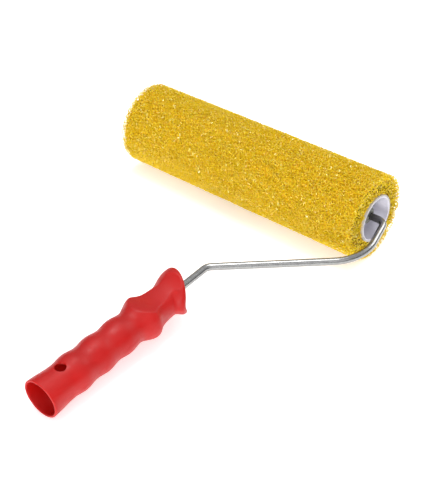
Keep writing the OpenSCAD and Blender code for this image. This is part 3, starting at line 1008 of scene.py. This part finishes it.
def lenses(rims, bulge):
    """Two fans from a window's rim to points on either side of its middle, bulge apart."""
    count, sides = rims.shape[:2]
    centre = rims.mean(1)
    normal = np.cross(rims[:, 0] - centre, rims[:, 1] - centre)
    normal /= np.linalg.norm(normal, axis=1)[:, None]
    lean = rng.normal(0, 0.18, (count, 1)) * normal
    tips = np.stack([centre + normal * bulge + lean, centre - normal * bulge + lean], 1)
    points = np.concatenate([rims, tips], 1).reshape(-1, 3)
    start = np.arange(count)[:, None] * (sides + 2)
    fans = [start + np.array([k, (k + 1) % sides, sides]) for k in range(sides)]
    fans += [start + np.array([(k + 1) % sides, k, sides + 1]) for k in range(sides)]
    return points, [np.concatenate(fans)]


# %% Find the windows that kept their skin
skin_share = 0.07
rims_by_sides = {4: [], 6: []}
for window_shifts, window_knots in windows:
    ring = np.stack([knot_number(s, k) for s, k in zip(window_shifts, window_knots)], -1)
    ring = ring[(ring >= 0).all(1)]
    rim = knot_points[ring]
    depth = outside_by(rim)
    whole = (depth.max(1) < -0.1) & (depth.max(1) > -foam_depth)
    whole &= np.hypot(rim[..., 1], rim[..., 2]).min(1) > core_r + 0.4
    whole &= rng.uniform(size=len(rim)) < skin_share
    rims_by_sides[rim.shape[1]].append(rim[whole])
films = [np.concatenate(rims_by_sides[n]) for n in (4, 6)]
print([len(f) for f in films], "skins")

# %% [markdown]
# ## Golden foam
# The foam is clear yellow, and light runs far into it: gaps glow amber instead of going black. So
# half of the light enters the struts and comes out again warmer. The struts are glossy, with a thin
# clear coat, and their colour drifts a little from place to place. The skins are paler and shinier.

# %% Mix the foam finishes
def foam_finish(name, tones, roughness, coat):
    """Glossy yellow plastic with slow drifts of tone and a slight unevenness in its gloss."""
    finish, tree, shader, place = new_finish(name)
    drift = noise(tree, place, 320.0, 3.0)
    stops = [(0.25, colour(*tones[0])), (0.5, colour(*tones[1])), (0.75, colour(*tones[2]))]
    tree.links.new(ramp(tree, drift, stops), shader.inputs["Base Color"])
    gloss = noise(tree, place, 1500.0, 2.0)
    sheen = span(tree, gloss, roughness - 0.08, roughness + 0.12, 0.3, 0.7)
    tree.links.new(sheen, shader.inputs["Roughness"])
    shader.inputs["Coat Weight"].default_value = coat
    shader.inputs["Coat Roughness"].default_value = 0.12
    shader.inputs["Subsurface Weight"].default_value = 0.5
    shader.inputs["Subsurface Radius"].default_value = (1.0, 0.75, 0.12)
    shader.inputs["Subsurface Scale"].default_value = 0.002
    bump(tree, shader, noise(tree, place, 4000.0, 2.0), 0.00004, 0.5)
    return finish


foam_gold = foam_finish("foam_gold", ((236, 193, 5), (243, 203, 11), (249, 214, 34)), 0.32, 0.25)
foam_skin = foam_finish("foam_skin", ((246, 220, 70), (250, 228, 90), (253, 236, 130)), 0.16, 1.0)

# %% Cut the foam into bands and make them
foam_bands = 8
band_edges = np.linspace(-foam_half, foam_half, foam_bands + 1)
strut_band = np.clip(np.searchsorted(band_edges, ends.mean(1)[:, 0]) - 1, 0, foam_bands - 1)
for band in range(foam_bands):
    net = prisms(ends[strut_band == band], strut_r)
    piece = make_piece(f"foam_net_{band + 1}", [net], "roller", foam_gold, ["foam_sleeve"], 0)
film_piece = make_piece("foam_skins", [lenses(f, 0.05) for f in films], "roller", foam_skin,
                        ["foam_sleeve"], 0)

# %% [markdown]
# ## The foam behind the foam
# Between the struts one sees more foam, deeper down and amber. Struts all the way in would cost
# millions of faces for nothing, so a rugged sleeve stands behind the net, hollowed like a cone at
# its ends. Its finish carries the same cell pattern: bright yellow ridges where struts would run, and
# painted shade, amber, in the cells between. At the ends the cells are painted browner, as painted shade,
# because little light gets there.

# %% Shape the deep foam
deep_gap = 0.2
deep_r = foam_r - foam_depth - deep_gap
deep_half = foam_half - foam_depth - deep_gap
along = np.linspace(-deep_half, deep_half, 420)
inward = np.linspace(deep_r, core_r + 0.9, 22)[1:]
near_cone = np.stack([inward, foam_half - end_reach(inward) - deep_gap], -1)
far_cone = near_cone[::-1] * np.array([1.0, -1.0])
side = np.stack([np.full(len(along), deep_r), along], -1)
deep_outline = np.concatenate([far_cone, side, near_cone])
deep_loops = turned(deep_outline, 200)
rugged = slow_waves(slow_waves(deep_loops.reshape(-1, 3), 1.2, 3.9), 0.9, 2.7).reshape(deep_loops.shape)
in_middle = (np.hypot(deep_loops[..., 1], deep_loops[..., 2]) > core_r + 1.5)
deep_loops = np.where(in_middle[..., None], rugged, deep_loops)
collar_half = foam_half - 1.2
lining = turned(np.array([[core_r + 0.8, collar_half], [core_r + 0.1, collar_half],
                          [core_r + 0.1, -collar_half], [core_r + 0.8, -collar_half]]), 200)
print("deep foam:", deep_loops.shape[0], "loops of", deep_loops.shape[1])


# %% Finish the deep foam
def deep_finish(name, side_shade_tones, end_shade_tones):
    """Painted shade: amber cells, darker towards their middles, read from the distance to the nearest
    cell wall. The tones go from wall to middle, and the share stored at each point says how much of the browner
    painted end shade is mixed in."""
    finish, tree, shader, place = new_finish(name)
    walls = put(tree, "ShaderNodeTexVoronoi", {"Vector": place, "Scale": 420.0},
                feature="DISTANCE_TO_EDGE").outputs["Distance"]
    at_side = ramp(tree, walls, [(at, colour(*tone)) for at, tone in side_shade_tones])
    at_end = ramp(tree, walls, [(at, colour(*tone)) for at, tone in end_shade_tones])
    share = put(tree, "ShaderNodeAttribute", attribute_name="end_shade_share").outputs["Fac"]
    mixed = put(tree, "ShaderNodeMixRGB", {"Fac": share, "Color1": at_side, "Color2": at_end})
    tree.links.new(mixed.outputs["Color"], shader.inputs["Base Color"])
    shader.inputs["Roughness"].default_value = 0.45
    bump(tree, shader, span(tree, walls, 1.0, 0.0, 0.0, 0.3), 0.0008)
    return finish


# Painted shade: the side tones darken from bright walls to amber cell middles, and the end tones darken to brown
# round the core.
foam_deep = deep_finish("foam_deep", [(0.0, (252, 214, 36)), (0.12, (246, 200, 22)), (0.45, (228, 176, 6))],
                        [(0.0, (206, 146, 12)), (0.1, (146, 90, 5)), (0.4, (84, 46, 3))])
deep = make_piece("foam_inner", [shell(np.concatenate([deep_loops, lining]), ring=True)], "roller",
                  foam_deep, ["foam_sleeve"])
# How much painted end shade each point gets: none on the side, and full from 1 to 4 mm below the side radius near
# the ends.
below_side = deep_r - np.hypot(deep_loops[..., 1], deep_loops[..., 2])
at_end = np.abs(deep_loops[..., 0]) > deep_half - end_depth - 1.5
end_shade_share = np.where(at_end, np.clip((below_side - 1.0) / 3.0, 0, 1), 0).reshape(-1, 1) * np.ones(3)
lining_share = np.zeros((len(deep.data.vertices) - len(end_shade_share), 3))
remember(deep, "end_shade_share", np.concatenate([end_shade_share, lining_share]))

# %% [markdown]
# ## The size
# Both boxes, the measured model's and the one round the looks, are printed one under the other. The
# looks may stand only a hair outside the measured model.

# %% Print the boxes and finish
shown_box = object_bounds()
for title, box in (("measured", cad_box), ("shown", shown_box)):
    print(title, [[round(value, 4) for value in corner] for corner in box])
